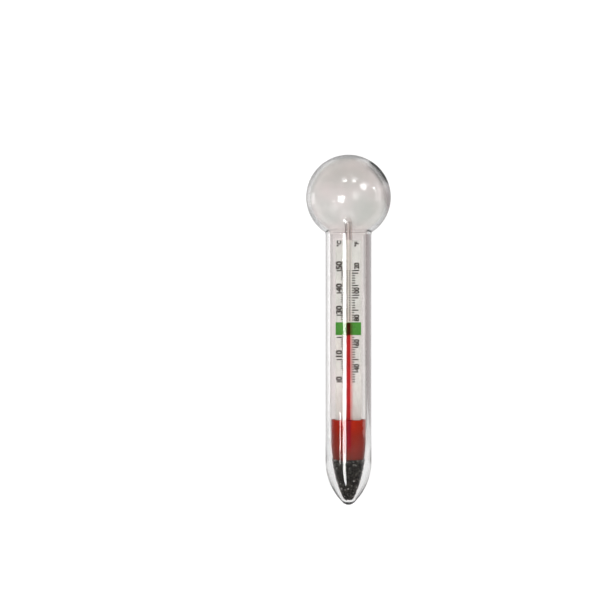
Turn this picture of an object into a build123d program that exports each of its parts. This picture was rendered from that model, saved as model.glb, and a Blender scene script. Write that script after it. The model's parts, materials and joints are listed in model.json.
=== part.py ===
"""Glass ball-head aquarium thermometer, in millimetres.

The origin is the lowest point of the drawn tip, on the tube's axis, and +Z runs up the tube to the
ball. The printed face of the scale card looks towards -Y, with the capillary lying in front of it.
"""

from build123d import *
from math import asin, atan2, ceil, cos, degrees, pi, radians, sin, sqrt
import os

# ---------------------------------------------------------------- driving dimensions
TOTAL_LENGTH = 110.5       # tip to crown of the ball
TUBE_R = 7.25              # outside of the straight glass tube
TUBE_WALL = 1.30
BALL_R = 13.375            # outside of the blown ball
BALL_WALL = 1.10
NECK_FILLET_R = 1.0        # outside, where the tube opens into the ball

TIP_START_Z = 13.8         # where the outside begins to draw in
TIP_NOSE_R = 2.6
CAVITY_TIP_START_Z = 20.5  # where the cavity begins to draw in
CAVITY_NOSE_R = 2.0
TIP_FLOOR = 1.5            # solid glass under the cavity

STEM_R = 1.20              # capillary glass
BORE_R = 0.45
THREAD_R = 0.41            # dyed spirit, running clearance in the bore
MENISCUS_LENGTH = 2.5      # the top of the column, which travels
MENISCUS_DIP = 0.15

WAX_BOTTOM_Z = 14.4
WAX_TOP_Z = 27.0
WAX_GAP = 0.50             # the cast wax stands clear of the glass all round
WAX_DISH = 0.45            # hollow in the middle of the wax's top

BULB_R = 2.2               # spirit reservoir, sunk in the wax
BULB_WALL = 0.45
BULB_BOTTOM_Z = 15.2
BULB_TOP_Z = 24.0
BULB_NECK = 0.6            # short neck that the stem is fused to

CARD_HALF_WIDTH = 4.15
CARD_THICKNESS = 0.30
CARD_FRONT_Y = 1.27        # printed face, just behind the stem
CARD_BOTTOM_Z = 25.0
CARD_TOP_Z = 83.6
STEM_TOP_Z = 90.6

# scale: 0 C stands here, and the spirit rises this far for each degree Celsius
ZERO_C_Z = 38.8
MM_PER_C = 0.7025
READING_C = 26.5            # where the top of the spirit stands
SCALE_C = (0, 50)
SCALE_F = (32, 122)
LABELS_C = 10              # degrees from one label to the next
LABELS_F = 20
BAND_C = (21.0, 26.8)      # green comfort band

INK = 0.03                 # thickness of the printed layers
TICK_WIDTH = 0.30
TICK_INNER_X = 0.45        # the lines start under the capillary
TICKS_C = {10: 3.75, 5: 2.60, 1: 2.00}   # step in degrees: where its line ends, from the axis
TICKS_F = {10: 3.20, 2: 1.90}
LABEL_X = 2.75             # middle of the figures, each side of the axis
FIGURE_HEIGHT = 1.55
FIGURE_WIDTH = 0.95
FIGURE_STROKE = 0.20
FIGURE_PITCH = 1.25
LABEL_RISE = 2.10          # from a line to the middle of its figures
UNIT_Z = 82.6              # middle of the letters at the head of the scales
UNIT_RING_R = 0.35
UNIT_RING_HOLE_R = 0.18
UNIT_RING_DROP = 1.1       # from the letter's middle down to its degree ring

SHOT_R = 0.70              # iron ballast shot
SHOT_GAP = 0.03
SHOT_TOP_Z = 14.3

CLEARANCE = 0.02           # around pieces that are cast or pushed into one another

CAVITY_R = TUBE_R - TUBE_WALL
CAVITY_BALL_R = BALL_R - BALL_WALL
BALL_Z = TOTAL_LENGTH - BALL_R
READING_Z = ZERO_C_Z + READING_C * MM_PER_C


# ---------------------------------------------------------------- helpers
def on_circle(centre, radius, angle):
    """A point in the XZ half-plane, the angle in degrees up from +X."""
    return (centre[0] + radius * cos(radians(angle)), centre[1] + radius * sin(radians(angle)))


def arc(centre, radius, start, end):
    """An arc in the XZ half-plane between two angles in degrees."""
    points = [on_circle(centre, radius, a) for a in (start, (start + end) / 2, end)]
    return ThreePointArc(*[(x, 0, z) for x, z in points])


def bottle(tube_r, ball_r, neck_r, draw_z, floor_z, nose_r):
    """Solid of revolution: a ball on a tube that draws in along an ogive to a round nose."""
    nose_z = floor_z + nose_r
    drop = draw_z - nose_z
    # the ogive's radius makes it tangent to the tube and, inside, to the nose
    ogive_r = (tube_r**2 + drop**2 - nose_r**2) / (2 * (tube_r - nose_r))
    ogive_centre = (tube_r - ogive_r, draw_z)
    nose_angle = degrees(atan2(-drop, ogive_r - tube_r))
    # the neck's fillet touches the tube's wall and the ball
    neck_x = tube_r + neck_r
    neck_z = BALL_Z - sqrt((ball_r + neck_r) ** 2 - neck_x**2)
    neck_angle = degrees(atan2(neck_z - BALL_Z, neck_x))
    top_z = BALL_Z + ball_r

    nose = arc((0, nose_z), nose_r, -90, nose_angle)
    ogive = arc(ogive_centre, ogive_r, nose_angle, 0)
    wall = Line((tube_r, 0, draw_z), (tube_r, 0, neck_z))
    neck = arc((neck_x, neck_z), neck_r, 180, 180 + neck_angle)
    ball = arc((0, BALL_Z), ball_r, neck_angle, 90)
    axis = Line((0, 0, top_z), (0, 0, floor_z))
    return revolve(make_face(Curve() + [nose, ogive, wall, neck, ball, axis]), Axis.Z)


def rod(radius, bottom_z, top_z):
    """A round rod on the axis."""
    return Pos(0, 0, (bottom_z + top_z) / 2) * Cylinder(radius, top_z - bottom_z)


def capsule(radius, bottom_z, top_z):
    """A rod with round ends."""
    ends = [Pos(0, 0, z) * Sphere(radius) for z in (bottom_z + radius, top_z - radius)]
    return rod(radius, bottom_z + radius, top_z - radius) + ends


def printed(x_size, z_size, x, z):
    """A patch of ink on the card's face."""
    return Pos(x, CARD_FRONT_Y - INK / 2, z) * Box(x_size, INK, z_size)


def celsius_z(celsius):
    return ZERO_C_Z + celsius * MM_PER_C


def fahrenheit_z(fahrenheit):
    return celsius_z((fahrenheit - 32) / 1.8)


# ---------------------------------------------------------------- glass
def cavity(inset=0.0):
    """The hollow of the envelope, or a body that stands off its wall by an inset."""
    ball_r = CAVITY_BALL_R - inset
    neck_r = NECK_FILLET_R + BALL_WALL + inset
    floor_z = TIP_FLOOR + inset
    return bottle(
        CAVITY_R - inset, ball_r, neck_r, CAVITY_TIP_START_Z, floor_z, CAVITY_NOSE_R - inset
    )


def glass_envelope():
    outside = bottle(TUBE_R, BALL_R, NECK_FILLET_R, TIP_START_Z, 0, TIP_NOSE_R)
    return outside - cavity()


def capillary_stem():
    bottom = BULB_TOP_Z + BULB_NECK
    glass = rod(STEM_R, bottom, STEM_TOP_Z - STEM_R) + Pos(0, 0, STEM_TOP_Z - STEM_R) * Sphere(STEM_R)
    return glass - capsule(BORE_R, bottom - BORE_R, STEM_TOP_Z - STEM_R)


def reservoir_bulb():
    neck = rod(STEM_R, BULB_TOP_Z - BULB_R / 2, BULB_TOP_Z + BULB_NECK)
    hollow = capsule(BULB_R - BULB_WALL, BULB_BOTTOM_Z + BULB_WALL, BULB_TOP_Z - BULB_WALL)
    channel = rod(BORE_R, BULB_TOP_Z - BULB_R, BULB_TOP_Z + BULB_NECK)
    return capsule(BULB_R, BULB_BOTTOM_Z, BULB_TOP_Z) + neck - hollow - channel


# ---------------------------------------------------------------- spirit
def spirit_reservoir():
    inset = BULB_WALL + CLEARANCE
    return capsule(BULB_R - inset, BULB_BOTTOM_Z + inset, BULB_TOP_Z - inset)


def spirit_thread():
    return rod(THREAD_R, BULB_TOP_Z - BULB_WALL, READING_Z - MENISCUS_LENGTH)


def spirit_meniscus():
    dip_r = (THREAD_R**2 + MENISCUS_DIP**2) / (2 * MENISCUS_DIP)
    dip = Pos(0, 0, READING_Z + dip_r - MENISCUS_DIP) * Sphere(dip_r)
    return rod(THREAD_R, READING_Z - MENISCUS_LENGTH, READING_Z) - dip


# ---------------------------------------------------------------- scale card
def scale_card():
    height = CARD_TOP_Z - CARD_BOTTOM_Z
    middle = (0, CARD_FRONT_Y + CARD_THICKNESS / 2, (CARD_TOP_Z + CARD_BOTTOM_Z) / 2)
    return Pos(*middle) * Box(2 * CARD_HALF_WIDTH, CARD_THICKNESS, height)


def comfort_band():
    low, high = (celsius_z(c) for c in BAND_C)
    return printed(2 * CARD_HALF_WIDTH, high - low, 0, (low + high) / 2)


def labels_on(scale, step, to_z):
    """Text, middle height and half length of each label that the green band leaves free."""
    labels = []
    for degree in range(ceil(scale[0] / step) * step, scale[1] + 1, step):
        text = str(degree)
        middle = to_z(degree) + LABEL_RISE
        half = (FIGURE_PITCH * (len(text) - 1) + FIGURE_WIDTH) / 2
        if not hidden_by_band(middle - half, middle + half):
            labels.append((text, middle, half))
    return labels


def ticks(scale, lengths, label_step, to_z, side):
    """Lines for each step of the scale, the longest on the round figures, short beside a label."""
    labels = labels_on(scale, label_step, to_z)
    lines = []
    for degree in range(scale[0], scale[1] + 1):
        steps = [step for step in lengths if degree % step == 0]
        z = to_z(degree)
        if not steps or hidden_by_band(z, z):
            continue
        outer_x = lengths[max(steps)]
        if any(abs(z - middle) < half + TICK_WIDTH / 2 for _, middle, half in labels):
            outer_x = min(outer_x, LABEL_X - FIGURE_HEIGHT / 2 - INK)
        middle_x = side * (TICK_INNER_X + outer_x) / 2
        lines.append(printed(outer_x - TICK_INNER_X, TICK_WIDTH, middle_x, z))
    return Compound(lines)


def hidden_by_band(low_z, high_z):
    """The green band is printed last, over the lines and figures that it covers."""
    margin = TICK_WIDTH
    return high_z > celsius_z(BAND_C[0]) - margin and low_z < celsius_z(BAND_C[1]) + margin


SEGMENTS = {  # bars of a figure, lying on its side: (across, along, is_long_way)
    "a": (1, 0, False), "b": (0.5, 0.5, True), "c": (-0.5, 0.5, True), "d": (-1, 0, False),
    "e": (-0.5, -0.5, True), "f": (0.5, -0.5, True), "g": (0, 0, False),
}
FIGURES = {
    "0": "abcdef", "1": "bc", "2": "abged", "3": "abgcd", "4": "fgbc",
    "5": "afgcd", "6": "afgedc", "8": "abcdefg", "C": "afed", "F": "afge",
}


def figure(symbol, x, z):
    """One figure built of bars. It reads from below upwards, so its top points to -X."""
    half_height = (FIGURE_HEIGHT - FIGURE_STROKE) / 2
    half_width = (FIGURE_WIDTH - FIGURE_STROKE) / 2
    bars = []
    for name in FIGURES[symbol]:
        across, along, upright = SEGMENTS[name]
        if upright:
            size = (half_height + FIGURE_STROKE, FIGURE_STROKE)
        else:
            size = (FIGURE_STROKE, 2 * half_width + FIGURE_STROKE)
        bars.append(printed(*size, x - across * half_height, z + 2 * along * half_width))
    return bars[0] + bars[1:]


def label(text, x, z):
    """Figures in a row up the card, centred on a height."""
    first = z - FIGURE_PITCH * (len(text) - 1) / 2
    return [figure(symbol, x, first + i * FIGURE_PITCH) for i, symbol in enumerate(text)]


def numerals(scale, step, to_z, side):
    figures = []
    for text, middle, _ in labels_on(scale, step, to_z):
        figures += label(text, side * LABEL_X, middle)
    return Compound(figures)


def unit_marks():
    """A degree ring and a letter at the head of each scale."""
    marks = []
    ring = Cylinder(UNIT_RING_R, INK) - Cylinder(UNIT_RING_HOLE_R, INK)
    for side, letter in ((-1, "C"), (1, "F")):
        marks.append(figure(letter, side * LABEL_X, UNIT_Z))
        ring_x = side * LABEL_X - FIGURE_HEIGHT / 2 + UNIT_RING_R
        place = Pos(ring_x, CARD_FRONT_Y - INK / 2, UNIT_Z - UNIT_RING_DROP)
        marks.append(place * Rot(90, 0, 0) * ring)
    return Compound(marks)


# ---------------------------------------------------------------- wax and ballast
def wax_plug():
    radius = CAVITY_R - WAX_GAP
    plug = rod(CAVITY_R, WAX_BOTTOM_Z, WAX_TOP_Z) & cavity(WAX_GAP)
    dish_r = (radius**2 + WAX_DISH**2) / (2 * WAX_DISH)
    dish = Pos(0, 0, WAX_TOP_Z + dish_r - WAX_DISH) * Sphere(dish_r)
    bulb = capsule(BULB_R + CLEARANCE, BULB_BOTTOM_Z - CLEARANCE, BULB_TOP_Z + CLEARANCE)
    stem = rod(STEM_R + CLEARANCE, BULB_TOP_Z - BULB_R, WAX_TOP_Z)
    slot_width = 2 * (CARD_HALF_WIDTH + CLEARANCE)
    slot_depth = CARD_THICKNESS + 2 * CLEARANCE
    slot_height = WAX_TOP_Z - CARD_BOTTOM_Z + CLEARANCE
    slot_middle = (0, CARD_FRONT_Y + CARD_THICKNESS / 2, CARD_BOTTOM_Z - CLEARANCE + slot_height / 2)
    slot = Pos(*slot_middle) * Box(slot_width, slot_depth, slot_height)
    return plug - dish - bulb - stem - slot


def cavity_radius(z):
    """Radius of the tube's cavity at a height in its drawn tip."""
    nose_z = TIP_FLOOR + CAVITY_NOSE_R
    drop = CAVITY_TIP_START_Z - nose_z
    ogive_r = (CAVITY_R**2 + drop**2 - CAVITY_NOSE_R**2) / (2 * (CAVITY_R - CAVITY_NOSE_R))
    return CAVITY_R - ogive_r + sqrt(ogive_r**2 - (CAVITY_TIP_START_Z - z) ** 2)


def ballast_shot():
    """Layers of rings of iron shot that fill the drawn tip under the wax."""
    pitch = 2 * SHOT_R + SHOT_GAP
    layers = int((SHOT_TOP_Z - TIP_FLOOR - 2 * SHOT_R) / pitch) + 1
    shot = []
    for layer in range(layers):
        z = SHOT_TOP_Z - SHOT_R - layer * pitch
        room = cavity_radius(z - SHOT_R) - SHOT_R - SHOT_GAP
        for ring in range(int(room / pitch) + 1):
            ring_r = ring * pitch
            count = int(pi / asin(pitch / 2 / ring_r)) if ring else 1
            for i in range(count):
                angle = 360 * i / count
                shot.append(Pos(*on_circle((0, 0), ring_r, angle), z) * Sphere(SHOT_R))
    return Compound(shot)


# ---------------------------------------------------------------- export
NODES = {
    "glass_envelope": glass_envelope(),
    "capillary_stem": capillary_stem(),
    "reservoir_bulb": reservoir_bulb(),
    "spirit_reservoir": spirit_reservoir(),
    "spirit_thread": spirit_thread(),
    "spirit_meniscus": spirit_meniscus(),
    "scale_card": scale_card(),
    "comfort_band": comfort_band(),
    "celsius_ticks": ticks(SCALE_C, TICKS_C, LABELS_C, celsius_z, -1),
    "celsius_numerals": numerals(SCALE_C, LABELS_C, celsius_z, -1),
    "fahrenheit_ticks": ticks(SCALE_F, TICKS_F, LABELS_F, fahrenheit_z, 1),
    "fahrenheit_numerals": numerals(SCALE_F, LABELS_F, fahrenheit_z, 1),
    "unit_marks": unit_marks(),
    "wax_plug": wax_plug(),
    "ballast_shot": ballast_shot(),
}

os.makedirs("parts", exist_ok=True)
for node, shape in NODES.items():
    export_step(shape, f"parts/{node}.step")
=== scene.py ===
"""Looks of a glass ball-head aquarium thermometer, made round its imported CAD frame.

Metres, +Z up the tube, the printed face of the card towards -Y.
"""
import json
import math
import random

import bpy
from mathutils import Matrix, Vector, noise


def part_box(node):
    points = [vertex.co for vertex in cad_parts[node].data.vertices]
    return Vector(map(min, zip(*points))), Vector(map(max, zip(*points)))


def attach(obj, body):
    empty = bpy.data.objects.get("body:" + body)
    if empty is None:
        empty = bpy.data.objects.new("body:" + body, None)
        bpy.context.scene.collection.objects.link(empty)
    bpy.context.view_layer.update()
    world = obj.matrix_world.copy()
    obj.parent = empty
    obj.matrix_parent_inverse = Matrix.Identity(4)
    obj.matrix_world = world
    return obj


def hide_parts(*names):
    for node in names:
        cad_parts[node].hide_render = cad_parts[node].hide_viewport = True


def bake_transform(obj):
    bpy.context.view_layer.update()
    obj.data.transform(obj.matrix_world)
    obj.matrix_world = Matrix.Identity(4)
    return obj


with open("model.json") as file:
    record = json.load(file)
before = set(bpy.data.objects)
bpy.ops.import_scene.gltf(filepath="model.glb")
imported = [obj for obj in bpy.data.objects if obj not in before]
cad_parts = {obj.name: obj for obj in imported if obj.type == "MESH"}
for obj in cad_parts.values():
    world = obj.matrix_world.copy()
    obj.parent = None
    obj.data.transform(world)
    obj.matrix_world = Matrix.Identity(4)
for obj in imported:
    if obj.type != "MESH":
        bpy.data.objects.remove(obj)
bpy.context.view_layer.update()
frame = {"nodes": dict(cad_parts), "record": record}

MM = 0.001
BODY, COLUMN = "instrument", "spirit_column_top"

# ---------------------------------------------------------------- sizes, from the frame
GLASS_LOW, GLASS_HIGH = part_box("glass_envelope")
CARD_LOW, CARD_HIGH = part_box("scale_card")
WAX_LOW, WAX_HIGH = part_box("wax_plug")
STEM_LOW, STEM_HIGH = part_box("capillary_stem")
THREAD_LOW, THREAD_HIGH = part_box("spirit_thread")
MENISCUS_LOW, MENISCUS_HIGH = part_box("spirit_meniscus")
BAND_LOW, BAND_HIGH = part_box("comfort_band")
MIDDLE_Z = (GLASS_LOW.z + GLASS_HIGH.z) / 2

TUBE_R = frame["record"]["mounts"][0]["dims"]["r_mm"] * MM
TUBE_WALL = 1.30 * MM
BALL_R = 13.375 * MM
BALL_WALL = 1.10 * MM
BALL_Z = GLASS_HIGH.z - BALL_R
NECK_R = 1.0 * MM
TIP_START_Z, TIP_NOSE_R = 13.8 * MM, 2.6 * MM
CAVITY_R = TUBE_R - TUBE_WALL
CAVITY_START_Z, CAVITY_NOSE_R, CAVITY_FLOOR = 20.5 * MM, 2.0 * MM, 1.5 * MM
STEM_R = 1.20 * MM
BORE_R = 0.45 * MM
WAX_GAP = 0.50 * MM

# the scale's two fixed points
ZERO_C_Z, M_PER_C = 38.8 * MM, 0.7025 * MM


# ---------------------------------------------------------------- mesh helpers
ON_AXIS = 1e-7             # a point of a profile nearer than this is on the axis


def arc(centre, radius, start, end, steps):
    """Points (r, z) along an arc between two angles in degrees, both ends included."""
    points = []
    for i in range(steps + 1):
        angle = math.radians(start + (end - start) * i / steps)
        points.append((centre[0] + radius * math.cos(angle), centre[1] + radius * math.sin(angle)))
    return points


def line(start, end, steps):
    """Points (r, z) along a straight stretch, without its two ends."""
    return [
        tuple(a + (b - a) * i / steps for a, b in zip(start, end)) for i in range(1, steps)
    ]


def ogive(tube_r, draw_z, floor_z, nose_r):
    """Centre, radius and nose angle of the arc that draws a tube in to a round nose."""
    drop = draw_z - (floor_z + nose_r)
    radius = (tube_r**2 + drop**2 - nose_r**2) / (2 * (tube_r - nose_r))
    return (tube_r - radius, draw_z), radius, math.degrees(math.atan2(-drop, radius - tube_r))


def bottle(tube_r, ball_r, neck_r, draw_z, floor_z, nose_r):
    """Profile of a ball on a tube with a drawn tip, from the nose up to the crown."""
    centre, radius, nose_angle = ogive(tube_r, draw_z, floor_z, nose_r)
    neck_x = tube_r + neck_r
    neck_z = BALL_Z - math.sqrt((ball_r + neck_r) ** 2 - neck_x**2)
    neck_angle = math.degrees(math.atan2(neck_z - BALL_Z, neck_x))
    nose = arc((0, floor_z + nose_r), nose_r, -90, nose_angle, 14)
    tip = arc(centre, radius, nose_angle, 0, 22)[1:]
    tube = line((tube_r, draw_z), (tube_r, neck_z), 30)
    neck = arc((neck_x, neck_z), neck_r, 180, 180 + neck_angle, 12)
    ball = arc((0, BALL_Z), ball_r, neck_angle, 90, 56)[1:]
    return [(0, floor_z)] + nose[1:] + tip + tube + neck + ball[:-1] + [(0, BALL_Z + ball_r)]


def cavity(inset=0.0):
    """Profile of the envelope's hollow, or of a body that stands off its wall."""
    ball_r, neck_r = BALL_R - BALL_WALL - inset, NECK_R + BALL_WALL + inset
    floor_z, nose_r = CAVITY_FLOOR + inset, CAVITY_NOSE_R - inset
    return bottle(CAVITY_R - inset, ball_r, neck_r, CAVITY_START_Z, floor_z, nose_r)


def cavity_radius(z):
    """Radius of the hollow at a height in the tube or its drawn tip."""
    if z >= CAVITY_START_Z:
        return CAVITY_R
    centre, radius, nose_angle = ogive(CAVITY_R, CAVITY_START_Z, CAVITY_FLOOR, CAVITY_NOSE_R)
    if z > centre[1] + radius * math.sin(math.radians(nose_angle)):
        return centre[0] + math.sqrt(radius**2 - (centre[1] - z) ** 2)
    nose_z = CAVITY_FLOOR + CAVITY_NOSE_R
    return math.sqrt(max(CAVITY_NOSE_R**2 - (nose_z - z) ** 2, 0))


def new_object(name, verts, faces, smooth=True):
    """A mesh object in the scene, smooth or faceted."""
    mesh = bpy.data.meshes.new(name)
    mesh.from_pydata(verts, [], faces)
    mesh.update()
    if smooth:
        mesh.shade_smooth()
    obj = bpy.data.objects.new(name, mesh)
    bpy.context.scene.collection.objects.link(obj)
    return obj


def lathe(name, profiles, segments):
    """Surfaces of revolution. A profile that runs upwards faces outwards, downwards inwards."""
    verts, faces = [], []
    for profile in profiles:
        rings = []
        for r, z in profile:
            turns = segments if r > ON_AXIS else 1
            rings.append(range(len(verts), len(verts) + turns))
            for i in range(turns):
                angle = 2 * math.pi * i / segments
                verts.append((r * math.cos(angle), r * math.sin(angle), z))
        for low, high in zip(rings, rings[1:]):
            for i in range(segments):
                corners = (low, i), (low, i + 1), (high, i + 1), (high, i)
                face = dict.fromkeys(ring[k % len(ring)] for ring, k in corners)
                faces.append(tuple(face))
    return new_object(name, verts, faces)


def place(piece, material, replaced, body=BODY):
    """Dresses a new piece, ties it to its body and lets it stand for its CAD nodes."""
    piece.data.materials.clear()
    piece.data.materials.append(material)
    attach(piece, body)
    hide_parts(*replaced)
    return piece


# ---------------------------------------------------------------- material helpers
def new_material(name, colour, roughness, **constants):
    """A Principled material. Constants are set on the shader's own sockets."""
    material = bpy.data.materials.new(name)
    material.use_nodes = True
    shader = material.node_tree.nodes["Principled BSDF"]
    shader.inputs["Base Color"].default_value = (*colour, 1)
    shader.inputs["Roughness"].default_value = roughness
    for socket, value in constants.items():
        shader.inputs[socket.replace("_", " ")].default_value = value
    return material, shader


def add(owner, kind, inputs=None, **settings):
    """A node of a material or world, its settings, and its inputs: values or feeding sockets."""
    node = owner.node_tree.nodes.new(kind)
    for key, value in settings.items():
        setattr(node, key, value)
    for key, value in (inputs or {}).items():
        feed(owner, node.inputs[key], value)
    return node


def feed(owner, socket, value):
    """Links a socket into an input, or sets the input to a plain value."""
    if isinstance(value, bpy.types.NodeSocket):
        owner.node_tree.links.new(value, socket)
    else:
        socket.default_value = value


def mix_colours(owner, factor, first, second, blend_type="MIX"):
    """Two colours mixed, or multiplied, by a factor."""
    inputs = {0: factor, 6: first, 7: second}
    return add(owner, "ShaderNodeMix", inputs, data_type="RGBA", blend_type=blend_type).outputs[2]


def rise(owner, value, low, high):
    """Turns smoothly from 0 to 1 as a value goes from low to high."""
    inputs = {"Value": value, "From Min": low, "From Max": high}
    return add(owner, "ShaderNodeMapRange", inputs, interpolation_type="SMOOTHSTEP").outputs[0]


def arithmetic(owner, operation, first, second):
    """One step of arithmetic between sockets or values."""
    return add(owner, "ShaderNodeMath", {0: first, 1: second}, operation=operation).outputs[0]


def object_coordinates(material, stretch=(1, 1, 1)):
    """The piece's own coordinates in metres, stretched or not."""
    source = add(material, "ShaderNodeTexCoord").outputs["Object"]
    return add(material, "ShaderNodeMapping", {"Vector": source, "Scale": stretch}).outputs[0]


def axes_of(material):
    """The X, Y and Z outputs of the piece's own coordinates."""
    return add(material, "ShaderNodeSeparateXYZ", {0: object_coordinates(material)}).outputs


def noise_at(material, per_metre, detail=3.0, roughness=0.55, stretch=(1, 1, 1)):
    """Cloudy noise with so many cells to the metre."""
    inputs = {
        "Vector": object_coordinates(material, stretch),
        "Scale": per_metre,
        "Detail": detail,
        "Roughness": roughness,
    }
    return add(material, "ShaderNodeTexNoise", inputs).outputs["Fac"]


def ramp(material, factor, stops):
    """A colour ramp from (place, colour) stops."""
    node = add(material, "ShaderNodeValToRGB", {"Fac": factor})
    elements = node.color_ramp.elements
    while len(elements) < len(stops):
        elements.new(1.0)
    for element, (where, colour) in zip(elements, stops):
        element.position = where
        element.color = (*colour, 1)
    return node.outputs["Color"]


def spread(material, factor, low, high, from_low=0.3, from_high=0.7):
    """A factor's middle range, or another, stretched to go from low to high."""
    inputs = {"Value": factor, "From Min": from_low, "From Max": from_high, "To Min": low, "To Max": high}
    return add(material, "ShaderNodeMapRange", inputs).outputs[0]


def bump(material, shader, height, strength, distance):
    """Fine relief on a shader's normal."""
    inputs = {"Height": height, "Strength": strength, "Distance": distance}
    feed(material, shader.inputs["Normal"], add(material, "ShaderNodeBump", inputs).outputs[0])


# ---------------------------------------------------------------- materials
DULL = 0.12                # specular level of the paper and ink behind the glass
WAX_GLOSS = 0.04           # and of the wax
BULB_TONE = (0.17, 0.003, 0.010, 1)
BALL_HAZE = 0.12           # roughness of the blown ball
# painted shade: two grey tones on the ball's inner wall, standing in for shade and dim reflections in the
# clear glass
BALL_PAINTED_SHADE = (0.76, 0.69, 0.68), (0.62, 0.62, 0.595)
# how much the painted shade darkens the ball's grey tint at three places of the ball
CROWN_PAINTED_SHADE = (0.83, 0.81, 0.79, 1)
LOW_RIGHT_PAINTED_SHADE = (0.84, 0.90, 0.87, 1)
NECK_PAINTED_SHADE = (0.93, 0.85, 0.845, 1)


def filmed(material, tint, painted_shade):
    """Painted shade: two grey tones in patches, darker at the ball's crown, its lower right and its neck.
    """
    patches = ramp(material, noise_at(material, 75, 2.0), [(0.38, painted_shade[0]), (0.62, painted_shade[1])])
    way = axes_of(material)
    crown = rise(material, way["Z"], BALL_Z - 2 * MM, BALL_Z + 11 * MM)
    low = rise(material, way["Z"], BALL_Z + 4 * MM, BALL_Z - 5 * MM)
    low_right = arithmetic(material, "MULTIPLY", low, rise(material, way["X"], -2 * MM, 8 * MM))
    patches = mix_colours(material, crown, patches, CROWN_PAINTED_SHADE, "MULTIPLY")
    patches = mix_colours(material, low_right, patches, LOW_RIGHT_PAINTED_SHADE, "MULTIPLY")
    neck = rise(material, way["Z"], BALL_Z - 7 * MM, BALL_Z - 11 * MM)
    patches = mix_colours(material, neck, patches, NECK_PAINTED_SHADE, "MULTIPLY")
    share = add(material, "ShaderNodeAttribute", attribute_name="painted_shade").outputs["Fac"]
    return mix_colours(material, share, (*tint, 1), patches)


def glass(name, tint, ior, smudge, shadow=(0.93, 0.94, 0.94), painted_shade=None):
    """Clear glass or liquid with faint smudges. Lamps shine through it to what it holds."""
    material, shader = new_material(name, tint, 0.0, IOR=ior, Transmission_Weight=1.0)
    # where given, a painted shade greys the base colour in patches
    if painted_shade:
        feed(material, shader.inputs["Base Color"], filmed(material, tint, painted_shade))
    wipes = noise_at(material, 160, 4.0, 0.6, (1, 1, 0.45))
    roughness = spread(material, wipes, 0.0, smudge, 0.50, 0.80)
    if painted_shade:
        height = axes_of(material)["Z"]
        haze = spread(material, height, 0.0, BALL_HAZE, BALL_Z - BALL_R, BALL_Z - 0.6 * BALL_R)
        roughness = arithmetic(material, "ADD", roughness, haze)
    feed(material, shader.inputs["Roughness"], roughness)
    bump(material, shader, noise_at(material, 90, 1.0), 0.006, 0.2 * MM)
    lamp = add(material, "ShaderNodeLightPath").outputs["Is Shadow Ray"]
    clear = add(material, "ShaderNodeBsdfTransparent", {"Color": (*shadow, 1)}).outputs[0]
    mixed = add(material, "ShaderNodeMixShader", {0: lamp, 1: shader.outputs[0], 2: clear}).outputs[0]
    feed(material, material.node_tree.nodes["Material Output"].inputs["Surface"], mixed)
    return material


def card_stock():
    """Warm white card with long fibres and a slight mottle."""
    material, shader = new_material("card_stock", (0.52, 0.51, 0.485), 0.8, Specular_IOR_Level=DULL)
    fibres = noise_at(material, 2600, 4.0, 0.65, (1, 1, 0.25))
    tone = ramp(material, fibres, [(0.3, (0.475, 0.478, 0.457)), (0.7, (0.555, 0.56, 0.535))])
    mottle = ramp(material, noise_at(material, 260, 2.0), [(0.35, (0.93, 0.92, 0.91)), (0.65, (1, 1, 1))])
    feed(material, shader.inputs["Base Color"], mix_colours(material, 1.0, tone, mottle, "MULTIPLY"))
    feed(material, shader.inputs["Roughness"], spread(material, fibres, 0.72, 0.9))
    bump(material, shader, fibres, 0.35, 0.03 * MM)
    return material


def ink(name, dark, light, roughness):
    """Printed ink that thins a little over the card's fibres."""
    material, shader = new_material(name, dark, roughness, Specular_IOR_Level=DULL)
    grain = noise_at(material, 4200, 3.0, 0.6)
    feed(material, shader.inputs["Base Color"], ramp(material, grain, [(0.35, dark), (0.75, light)]))
    feed(material, shader.inputs["Roughness"], spread(material, grain, roughness, roughness + 0.2))
    bump(material, shader, grain, 0.2, 0.01 * MM)
    return material


def wax():
    """Cast red wax, brighter at its top, with a cloudy mottle. The bulb shows through its front."""
    material, shader = new_material(
        "red_wax", (0.33, 0.03, 0.012), 0.4, Subsurface_Weight=0.15, Specular_IOR_Level=WAX_GLOSS
    )
    shader.inputs["Subsurface Radius"].default_value = (1.0, 0.25, 0.12)
    shader.inputs["Subsurface Scale"].default_value = 0.8 * MM
    way = axes_of(material)
    rise_up = spread(material, way["Z"], 0.0, 1.0, WAX_LOW.z, WAX_HIGH.z)
    cloud = noise_at(material, 420, 4.0, 0.6)
    wander = arithmetic(material, "ADD", arithmetic(material, "MULTIPLY", cloud, 0.35), rise_up)
    stops = [
        (0.15, (0.10, 0.024, 0.019)),
        (0.45, (0.15, 0.022, 0.016)),
        (0.75, (0.165, 0.014, 0.007)),
        (1.0, (0.24, 0.012, 0.003)),
    ]
    body = ramp(material, wander, stops)
    across = arithmetic(material, "ABSOLUTE", way["X"], 0.0)
    in_front = rise(material, way["Y"], 0, -1 * MM)
    bulb = arithmetic(material, "MULTIPLY", rise(material, across, 0.9 * MM, 0.4 * MM), in_front)
    shows = arithmetic(material, "MULTIPLY", bulb, rise(material, rise_up, 0.1, 0.45))
    tone = mix_colours(material, shows, body, BULB_TONE)
    feed(material, shader.inputs["Base Color"], tone)
    feed(material, shader.inputs["Roughness"], spread(material, cloud, 0.3, 0.55))
    bump(material, shader, noise_at(material, 900, 3.0), 0.3, 0.1 * MM)
    return material


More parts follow.
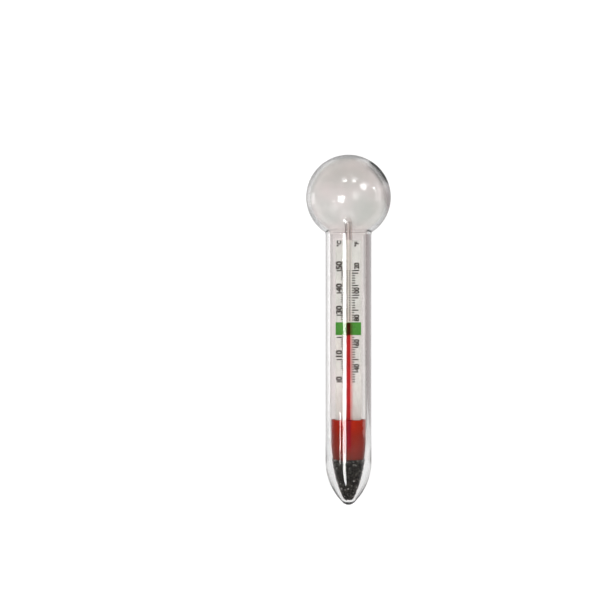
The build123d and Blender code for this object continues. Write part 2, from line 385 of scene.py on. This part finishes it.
def iron():
    """Blackened iron grains: most dull, a few with a bright broken face."""
    material, shader = new_material("black_iron", (0.04, 0.04, 0.038), 0.5, Metallic=0.7)
    tone = add(material, "ShaderNodeAttribute", attribute_name="grain_tone").outputs["Fac"]
    stops = [
        (0.0, (0.012, 0.012, 0.011)),
        (0.7, (0.055, 0.052, 0.047)),
        (0.93, (0.12, 0.115, 0.105)),
        (1.0, (0.55, 0.54, 0.52)),
    ]
    feed(material, shader.inputs["Base Color"], ramp(material, tone, stops))
    rust = noise_at(material, 5200, 3.0, 0.6)
    feed(material, shader.inputs["Roughness"], spread(material, rust, 0.28, 0.62))
    bump(material, shader, rust, 0.5, 0.03 * MM)
    return material


# ---------------------------------------------------------------- camera, lamps and stage
VIEW_WIDTH = 189.7 * MM    # how wide the view is where the object stands
LENS_MM, SENSOR_MM = 120.0, 36.0
CAMERA_LEFT, CAMERA_UP = 15.3 * MM, 9.25 * MM


def make_camera():
    """A long lens straight in front, with the object a little right of and below the middle."""
    distance = VIEW_WIDTH * LENS_MM / SENSOR_MM
    data = bpy.data.cameras.new("camera")
    data.lens, data.sensor_width = LENS_MM, SENSOR_MM
    data.clip_start, data.clip_end = 0.01, 20
    camera = bpy.data.objects.new("camera", data)
    camera.location = (-CAMERA_LEFT, -distance, MIDDLE_Z + CAMERA_UP)
    camera.rotation_euler = (math.radians(90), 0, 0)
    bpy.context.scene.collection.objects.link(camera)
    bpy.context.scene.camera = camera


MIDDLE = Vector((0, 0, MIDDLE_Z))
TIP = Vector((0, 0, 9 * MM))


def softbox(name, azimuth, elevation, distance, size, radiance, shape="RECTANGLE", target=MIDDLE):
    """A flat lamp that faces a point of the thermometer. Azimuth 0 is the camera's side, 90 is +X."""
    data = bpy.data.lights.new(name, "AREA")
    data.shape, (data.size, data.size_y) = shape, size
    data.energy = radiance * math.pi * size[0] * size[1]
    if shape == "ELLIPSE":
        data.energy *= math.pi / 4
    lamp = bpy.data.objects.new(name, data)
    lamp.visible_camera = lamp.visible_transmission = False
    a, e = math.radians(azimuth), math.radians(elevation)
    way = Vector((math.sin(a) * math.cos(e), -math.cos(a) * math.cos(e), math.sin(e)))
    lamp.location = target + way * distance
    lamp.rotation_euler = (-way).to_track_quat("-Z", "Y").to_euler()
    bpy.context.scene.collection.objects.link(lamp)


def make_lamps():
    """Windows above that dot the ball, and upright strips that line the tube."""
    softbox("window_left", -13, 43, 0.9, (0.14, 0.12), 18, "ELLIPSE")
    softbox("window_right", 17, 43, 0.9, (0.14, 0.11), 18, "ELLIPSE")
    softbox("key", 42, 27, 0.9, (0.29, 0.26), 11, "ELLIPSE")
    softbox("window_far_right", 76, 20, 0.9, (0.10, 0.12), 16)
    softbox("strip", -21, -2.6, 0.50, (0.145, 0.142), 18.5)
    softbox("strip_under_tip", -20, -22, 0.045, (0.0105, 0.046), 23, "ELLIPSE", TIP)
    softbox("thin_strip", -43, -8.6, 0.50, (0.032, 0.044), 24)
    softbox("right_panel", 86, 3, 0.90, (0.36, 0.50), 1.8)
    softbox("left_edge", -113, -4, 0.90, (0.24, 0.45), 3.0)


def front_dimmer(owner, forward):
    """1 for what a mirror image shows of the room in front, as a black cloth there would."""
    mirrored = add(owner, "ShaderNodeLightPath").outputs["Glossy Depth"]
    once = arithmetic(owner, "MINIMUM", mirrored, 1.0)
    return arithmetic(owner, "MULTIPLY", once, rise(owner, forward, 0.30, -0.15))


ROOM, ROOM_RIGHT, ROOM_DIM = (0.86, 0.85, 0.845, 1), (0.40, 0.36, 0.36, 1), (0.03, 0.029, 0.028, 1)


def make_world():
    """A plain pale room, greyer on the right at the height of the object."""
    world = bpy.data.worlds.new("studio")
    bpy.context.scene.world = world
    world.use_nodes = True
    source = add(world, "ShaderNodeTexCoord").outputs["Generated"]
    way = add(world, "ShaderNodeSeparateXYZ", {0: source}).outputs
    level = rise(world, arithmetic(world, "ABSOLUTE", way["Z"], 0.0), 0.26, 0.08)
    rightness = arithmetic(world, "MULTIPLY", rise(world, way["X"], 0.02, 0.55), level)
    room = mix_colours(world, rightness, ROOM, ROOM_RIGHT)
    seen = mix_colours(world, front_dimmer(world, way["Y"]), room, ROOM_DIM)
    background = world.node_tree.nodes["Background"]
    feed(world, background.inputs["Color"], seen)
    background.inputs["Strength"].default_value = 1.0


FLOOR_Z = -40 * MM
BACKDROP_Y, BEND_R, STAGE_SIDE = 1.3, 0.4, 2.5
BACKDROP_SIDE = 0.34
STAGE_GLOW = 0.33
STAGE_WHITE, STAGE_DIM = (0.80, 0.80, 0.80, 1), (0.04, 0.04, 0.04, 1)


def make_stage():
    """A wide pale floor with a narrower backdrop, which curves up from it."""
    bend_y, bend_z = BACKDROP_Y - BEND_R, FLOOR_Z + BEND_R
    floor = [(-STAGE_SIDE, FLOOR_Z), (bend_y, FLOOR_Z)]
    backdrop = arc((bend_y, bend_z), BEND_R, -90, 0, 24) + [(BACKDROP_Y, STAGE_SIDE)]
    verts = [(x, y, z) for y, z in floor for x in (-STAGE_SIDE, STAGE_SIDE)]
    verts += [(x, y, z) for y, z in backdrop for x in (-BACKDROP_SIDE, BACKDROP_SIDE)]
    faces = [(0, 1, 3, 2)] + [(i, i + 1, i + 3, i + 2) for i in range(4, len(verts) - 2, 2)]
    sweep = new_object("stage_sweep", verts, faces)
    material, shader = new_material("stage_paper", STAGE_WHITE[:3], 0.9)
    place_in_room = add(material, "ShaderNodeNewGeometry").outputs["Position"]
    way = add(material, "ShaderNodeVectorMath", {0: place_in_room}, operation="NORMALIZE").outputs[0]
    forward = add(material, "ShaderNodeSeparateXYZ", {0: way}).outputs["Y"]
    dimmer = front_dimmer(material, forward)
    paper = mix_colours(material, dimmer, STAGE_WHITE, STAGE_DIM)
    glow = mix_colours(material, dimmer, (1, 1, 1, 1), STAGE_DIM)
    feed(material, shader.inputs["Base Color"], paper)
    feed(material, shader.inputs["Emission Color"], glow)
    shader.inputs["Emission Strength"].default_value = STAGE_GLOW
    sweep.data.materials.append(material)


HOOP_R = 0.8
HOOP_STEP = 5              # degrees
# cards: name, first and last turn (degrees up from +X), edges (degrees off the ball's axis), tone
HOOP_CARDS = [
    ("stage_hoop_right", -8, 26, (13.5, 15.5), 0.45),
    ("stage_hoop_dark", 24, 60, (15, 42), 0.015),
    ("stage_hoop_left", 60, 188, (13.5, 15.5), 0.50),
]


def make_hoop():
    """A grey hoop behind the ball, dark at its upper right, which lines the ball's rim."""
    centre = Vector((0, 0, BALL_Z))
    for name, first, last, edges, tone in HOOP_CARDS:
        verts = []
        steps = round((last - first) / HOOP_STEP)
        for i in range(steps + 1):
            turn = math.radians(first + (last - first) * i / steps)
            for away in (math.radians(edge) for edge in edges):
                way = (math.sin(away) * math.cos(turn), math.cos(away), math.sin(away) * math.sin(turn))
                verts.append(centre + Vector(way) * HOOP_R)
        faces = [(i, i + 2, i + 3, i + 1) for i in range(0, len(verts) - 2, 2)]
        card = new_object(name, verts, faces)
        card.data.materials.append(new_material(name, (tone, tone, tone), 0.9)[0])
        card.visible_camera = False


# ---------------------------------------------------------------- the thermometer
TUBE_PAINTED_SHADE = 0.65           # painted shade: how much of the ball's grey tint the tube's inner wall has
PAINTED_SHADE_FADE = 4 * MM         # the height over which it darkens to the ball's
ENVELOPE_TURNS = 160
SWELL, SWELLS_PER_M = 0.09 * MM, 130


def make_envelope(material):
    """Ball, tube and drawn tip in one blown wall, with the unevenness of blown glass inside."""
    outside = bottle(TUBE_R, BALL_R, NECK_R, TIP_START_Z, 0.0, TIP_NOSE_R)
    glass_wall = lathe("glass_envelope_blown", [outside, cavity()[::-1]], ENVELOPE_TURNS)
    outer_count = 2 + (len(outside) - 2) * ENVELOPE_TURNS
    for vertex in list(glass_wall.data.vertices)[outer_count:]:
        swell = noise.noise(vertex.co * SWELLS_PER_M) * SWELL
        flat = Vector((vertex.co.x, vertex.co.y, 0))
        if vertex.co.z > BALL_Z - BALL_R * 0.8 and flat.length > ON_AXIS:
            vertex.co += (vertex.co - Vector((0, 0, BALL_Z))).normalized() * swell
    # painted shade share per vertex: none on the outer wall, part on the tube's inner wall, all on the
    # ball's
    painted_shade = []
    for vertex in glass_wall.data.vertices:
        in_ball = min(max((vertex.co.z - (BALL_Z - BALL_R)) / PAINTED_SHADE_FADE, 0), 1)
        painted_shade.append(0 if vertex.index < outer_count else TUBE_PAINTED_SHADE + (1 - TUBE_PAINTED_SHADE) * in_ball)
    attribute = glass_wall.data.attributes.new("painted_shade", "FLOAT", "POINT")
    attribute.data.foreach_set("value", painted_shade)
    place(glass_wall, material, ["glass_envelope"])


def make_stem(material):
    """The capillary: a domed glass rod with its fine bore."""
    bore_top = STEM_HIGH.z - STEM_R
    dome = arc((0, bore_top), STEM_R, 0, 90, 12)[:-1] + [(0, STEM_HIGH.z)]
    outside = [(BORE_R, STEM_LOW.z), (STEM_R, STEM_LOW.z)]
    outside += line((STEM_R, STEM_LOW.z), dome[0], 24) + dome
    bore_end = arc((0, bore_top - BORE_R), BORE_R, 0, 90, 8)[:-1] + [(0, bore_top)]
    bore = [(BORE_R, STEM_LOW.z)] + line((BORE_R, STEM_LOW.z), bore_end[0], 24) + bore_end
    stem = lathe("capillary_glass_stem", [outside, bore[::-1]], 64)
    place(stem, material, ["capillary_stem"])


WETTING = 0.006 * MM
MENISCUS_DIP = 0.28 * MM


def make_spirit(material):
    """The spirit wets the bore, so it stands a hair wider than it. Thread and head join openly."""
    radius = BORE_R + WETTING
    low, high = THREAD_LOW.z, THREAD_HIGH.z
    side = [(radius, low)] + line((radius, low), (radius, high), 60) + [(radius, high)]
    thread = lathe("spirit_thread_column", [[(0, low)] + side], 32)
    thread.data.materials.append(material)
    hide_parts("spirit_thread")
    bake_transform(thread)
    low, high = MENISCUS_LOW.z, MENISCUS_HIGH.z
    profile = [(radius, low)] + line((radius, low), (radius, high), 6) + [(radius, high)]
    profile += [
        (radius * (1 - i / 6), high - MENISCUS_DIP * (1 - (1 - i / 6) ** 2)) for i in range(1, 6)
    ] + [(0, high - MENISCUS_DIP)]
    head = lathe("spirit_meniscus_head", [profile], 32)
    place(head, material, ["spirit_meniscus"], COLUMN)


SHRINK, SHRINKS_PER_M = 0.06 * MM, 420
RIPPLE, RIPPLES_PER_M = 0.08 * MM, 700


def make_wax(material):
    """The plug takes the cavity's shape and creeps up the glass, the stem and the card."""
    top, bottom = WAX_HIGH.z, WAX_LOW.z
    rim, dip, bevel = 0.25 * MM, 0.45 * MM, 0.10 * MM
    creep_height, creep_reach = 0.35 * MM, 0.5 * MM
    profile = [(0, bottom)] + line((0, bottom), (cavity_radius(bottom) - WAX_GAP, bottom), 10)
    heights = [bottom + (top - bottom - rim) * i / 24 for i in range(25)]
    profile += [(cavity_radius(z) - WAX_GAP, z) for z in heights]
    edge = CAVITY_R - WAX_GAP
    profile += [(edge - 0.2 * bevel, top - 0.4 * rim), (edge - bevel, top)]
    steps = 14
    for i in range(1, steps):
        r = (edge - bevel) * (1 - i / steps)
        creep = math.exp(-(r - STEM_R) / creep_reach) if r > STEM_R else 1.0
        profile.append((r, top - dip * (1 - (r / edge) ** 4) + creep_height * creep))
    profile.append((0, top - dip + creep_height))
    plug = lathe("wax_plug_cast", [profile], 96)
    for vertex in plug.data.vertices:
        way = Vector((vertex.co.x, vertex.co.y, 0))
        shrink = SHRINK * (0.5 + 0.5 * noise.noise(vertex.co * SHRINKS_PER_M))
        if way.length > CAVITY_R * 0.6:
            vertex.co -= way.normalized() * shrink
        elif vertex.co.z > top - 2 * MM:
            vertex.co.z += noise.noise(vertex.co * RIPPLES_PER_M) * RIPPLE
    place(plug, material, ["wax_plug"])


def grain_shapes(rng, count):
    """A few rough grains of unit size: icospheres pushed about."""
    shapes = []
    for k in range(count):
        bpy.ops.mesh.primitive_ico_sphere_add(subdivisions=1, radius=1)
        ball = bpy.context.object
        squeeze = Vector(rng.uniform(0.75, 1.15) for _ in range(3))
        verts = []
        for vertex in ball.data.vertices:
            push = 1 + 0.35 * noise.noise(vertex.co * 1.3 + Vector((k * 7.1, 0, 0)))
            verts.append(Vector(c * s for c, s in zip(vertex.co, squeeze)) * push)
        faces = [tuple(face.vertices) for face in ball.data.polygons]
        mesh = ball.data
        bpy.data.objects.remove(ball)
        bpy.data.meshes.remove(mesh)
        shapes.append((verts, faces))
    return shapes


GRAIN_R = 0.31 * MM
GRAIN_PITCH = 0.54 * MM
ROW_STEP = 0.86 * GRAIN_PITCH
OUTER_SKIN = 1.15 * GRAIN_R
INNER_SKIN = OUTER_SKIN + 0.8 * GRAIN_PITCH
CORE_INSET, CORE_RISE = 1.1 * MM, 0.8 * MM
CORE_TONE = 0.05


def dark_core(bottom, top, rings=17, turns=24):
    """Vertices and faces of a closed body that fills the tip inside the grains."""
    verts, faces = [], []
    for k in range(rings):
        z = bottom + (top - bottom) * k / (rings - 1)
        r = max(cavity_radius(z) - CORE_INSET, 0)
        for i in range(turns):
            angle = 2 * math.pi * i / turns
            verts.append(Vector((r * math.cos(angle), r * math.sin(angle), z)))
    for low in range(0, (rings - 1) * turns, turns):
        for i in range(turns):
            j = (i + 1) % turns
            faces.append((low + i, low + j, low + turns + j, low + turns + i))
    faces.append(tuple(reversed(range(turns))))
    faces.append(tuple((rings - 1) * turns + i for i in range(turns)))
    return verts, faces


def make_ballast(material):
    """Two skins of loose iron grains against the glass, round a dark core."""
    rng = random.Random(7)
    shapes = grain_shapes(rng, 12)
    verts, faces, tones = [], [], []

    def grain(centre):
        shape_verts, shape_faces = rng.choice(shapes)
        turn = Matrix.Rotation(rng.uniform(0, 6.28), 3, Vector([rng.gauss(0, 1) for _ in range(3)]))
        size = GRAIN_R * rng.uniform(0.72, 1.12)
        first = len(verts)
        verts.extend(centre + turn @ v * size for v in shape_verts)
        faces.extend(tuple(first + i for i in face) for face in shape_faces)
        tones.extend([rng.random()] * len(shape_verts))

    top = WAX_LOW.z - GRAIN_R * 0.6
    bottom = CAVITY_FLOOR + GRAIN_R * 1.2
    for inset in (OUTER_SKIN, INNER_SKIN):
        z = top
        while z > bottom:
            radius = max(cavity_radius(z) - inset, 0)
            count = max(1, int(2 * math.pi * radius / GRAIN_PITCH))
            start = rng.uniform(0, 6.28)
            for i in range(count):
                angle = start + 2 * math.pi * i / count + rng.uniform(-0.2, 0.2) / max(count, 3)
                r = radius - abs(rng.gauss(0, 0.10 * MM))
                lift = rng.uniform(-0.12, 0.12) * MM
                grain(Vector((r * math.cos(angle), r * math.sin(angle), z + lift)))
            z -= ROW_STEP
    core_verts, core_faces = dark_core(bottom + CORE_RISE, top)
    faces += [tuple(len(verts) + i for i in face) for face in core_faces]
    verts += core_verts
    tones += [CORE_TONE] * len(core_verts)
    ballast = new_object("ballast_iron_grains", verts, faces, smooth=False)
    attribute = ballast.data.attributes.new("grain_tone", "FLOAT", "POINT")
    attribute.data.foreach_set("value", tones)
    place(ballast, material, ["ballast_shot"])


CELSIUS_SIZE, FAHRENHEIT_SIZE, UNIT_SIZE = 2.6 * MM, 2.15 * MM, 1.8 * MM
CELSIUS_X, FAHRENHEIT_X = -2.90 * MM, 2.75 * MM
LABEL_RISE = 0.35 * MM
LABEL_LENGTH = 3.0 * MM    # the longest label
INK_DEPTH = 0.02 * MM
BOLDNESS = 0.055           # how much the figures' strokes swell, as a share of their size
UNITS_DROP = 2.1 * MM      # from the card's top to the two unit marks


def printed_text(text, size, x, start_z):
    """Vertices and faces of figures that read up the card from a height, centred on x."""
    curve = bpy.data.curves.new("figures", "FONT")
    curve.body, curve.size, curve.extrude = text, size, INK_DEPTH / 2
    curve.offset = BOLDNESS * size
    curve.align_x, curve.align_y = "LEFT", "CENTER"
    curve.resolution_u = 6
    holder = bpy.data.objects.new("figures", curve)
    bpy.context.scene.collection.objects.link(holder)
    bpy.context.view_layer.update()
    mesh = bpy.data.meshes.new_from_object(holder.evaluated_get(bpy.context.evaluated_depsgraph_get()))
    bpy.data.objects.remove(holder)
    face_y = CARD_LOW.y - INK_DEPTH / 2
    length = max(v.co.x for v in mesh.vertices)
    squeeze = min(LABEL_LENGTH / length, 1)
    verts = [(x - v.co.y, face_y - v.co.z, start_z + v.co.x * squeeze) for v in mesh.vertices]
    faces = [tuple(p.vertices) for p in mesh.polygons]
    bpy.data.meshes.remove(mesh)
    return verts, faces


def make_figures(name, size, labels, material, node):
    """One node of printed figures, from (text, x, z) labels."""
    verts, faces = [], []
    for text, x, z in labels:
        more_verts, more_faces = printed_text(text, size, x, z)
        faces += [tuple(len(verts) + i for i in face) for face in more_faces]
        verts += more_verts
    figures = new_object(name, verts, faces, smooth=False)
    place(figures, material, [node])


CELSIUS_SCALE, FAHRENHEIT_SCALE = (0, 50), (32, 122)
# step in degrees: where its line ends, from the axis, and how thick it is
CELSIUS_LINES = {10: (3.75 * MM, 0.40 * MM), 5: (2.90 * MM, 0.34 * MM), 1: (2.35 * MM, 0.34 * MM)}
FAHRENHEIT_LINES = {10: (3.20 * MM, 0.38 * MM), 2: (2.15 * MM, 0.34 * MM)}
LINE_INNER_X = 0.45 * MM   # the lines start under the capillary
LINE_BESIDE_LABEL = 1.90 * MM


def band_leaves(low, high):
    """Whether a line or figure is clear of the green band, which has none under it."""
    return high < BAND_LOW.z or low > BAND_HIGH.z


def make_lines(name, side, scale, kinds, labels, to_z, material, node):
    """One node of printed lines, longest on the round figures and short beside a label."""
    verts, faces = [], []
    for degree in range(scale[0], scale[1] + 1):
        steps = [step for step in kinds if degree % step == 0]
        if not steps:
            continue
        outer, thick = kinds[max(steps)]
        low, high = to_z(degree) - thick / 2, to_z(degree) + thick / 2
        if not band_leaves(low, high):
            continue
        if any(high > start and low < start + LABEL_LENGTH for _, _, start in labels):
            outer = min(outer, LINE_BESIDE_LABEL)
        left, right = sorted((side * LINE_INNER_X, side * outer))
        first = len(verts)
        for y in (CARD_LOW.y, CARD_LOW.y - INK_DEPTH):
            verts += [(left, y, low), (right, y, low), (right, y, high), (left, y, high)]
        quads = [(4, 5, 6, 7), (3, 2, 1, 0), (0, 1, 5, 4), (1, 2, 6, 5), (2, 3, 7, 6), (3, 0, 4, 7)]
        faces += [tuple(first + i for i in quad) for quad in quads]
    lines = new_object(name, verts, faces, smooth=False)
    place(lines, material, [node])


def make_print(black):
    """The printed lines, the figures just above the long ones, and the two unit marks."""

    def celsius_z(celsius):
        return ZERO_C_Z + celsius * M_PER_C

    def fahrenheit_z(fahrenheit):
        return celsius_z((fahrenheit - 32) / 1.8)

    def labels(degrees, to_z, x):
        placed = [(str(d), x, to_z(d) + LABEL_RISE) for d in degrees]
        return [label for label in placed if band_leaves(label[2], label[2] + LABEL_LENGTH)]

    celsius = labels(range(0, 51, 10), celsius_z, CELSIUS_X)
    fahrenheit = labels(range(40, 121, 20), fahrenheit_z, FAHRENHEIT_X)
    make_lines(
        "celsius_printed_lines", -1, CELSIUS_SCALE, CELSIUS_LINES, celsius, celsius_z, black,
        "celsius_ticks",
    )
    make_lines(
        "fahrenheit_printed_lines", 1, FAHRENHEIT_SCALE, FAHRENHEIT_LINES, fahrenheit, fahrenheit_z,
        black, "fahrenheit_ticks",
    )
    units_z = CARD_HIGH.z - UNITS_DROP
    units = [("°C", CELSIUS_X, units_z), ("°F", FAHRENHEIT_X, units_z)]
    make_figures("celsius_printed_figures", CELSIUS_SIZE, celsius, black, "celsius_numerals")
    make_figures("fahrenheit_printed_figures", FAHRENHEIT_SIZE, fahrenheit, black, "fahrenheit_numerals")
    make_figures("unit_printed_marks", UNIT_SIZE, units, black, "unit_marks")


def dress(node, material):
    """A CAD node whose shape stays, in its own material."""
    data = frame["nodes"][node].data
    data.materials.clear()
    data.materials.append(material)


# ---------------------------------------------------------------- build
make_camera()
make_lamps()
make_world()
make_stage()
make_hoop()

# the clear glass carries a painted shade in grey tones on its inner wall
clear = glass("clear_glass", (0.97, 0.97, 0.97), 1.47, 0.03, painted_shade=BALL_PAINTED_SHADE)
capillary = glass("capillary_glass", (0.985, 0.95, 0.935), 1.32, 0.02)
red_spirit = glass("red_spirit", (0.75, 0.06, 0.07), 1.36, 0.02, (0.95, 0.12, 0.12))
black_ink = ink("black_ink", (0.018, 0.015, 0.013), (0.06, 0.05, 0.045), 0.45)
green_ink = ink("green_ink", (0.032, 0.163, 0.018), (0.060, 0.232, 0.034), 0.4)

make_envelope(clear)
make_stem(capillary)
make_spirit(red_spirit)
make_wax(wax())
make_ballast(iron())
make_print(black_ink)
dress("scale_card", card_stock())
dress("comfort_band", green_ink)
dress("reservoir_bulb", capillary)
dress("spirit_reservoir", red_spirit)

BOUNCES = 24               # light crosses many walls of glass
cycles = bpy.context.scene.cycles
cycles.max_bounces = cycles.transmission_bounces = cycles.transparent_max_bounces = BOUNCES
bpy.context.scene.view_settings.view_transform = "Standard"
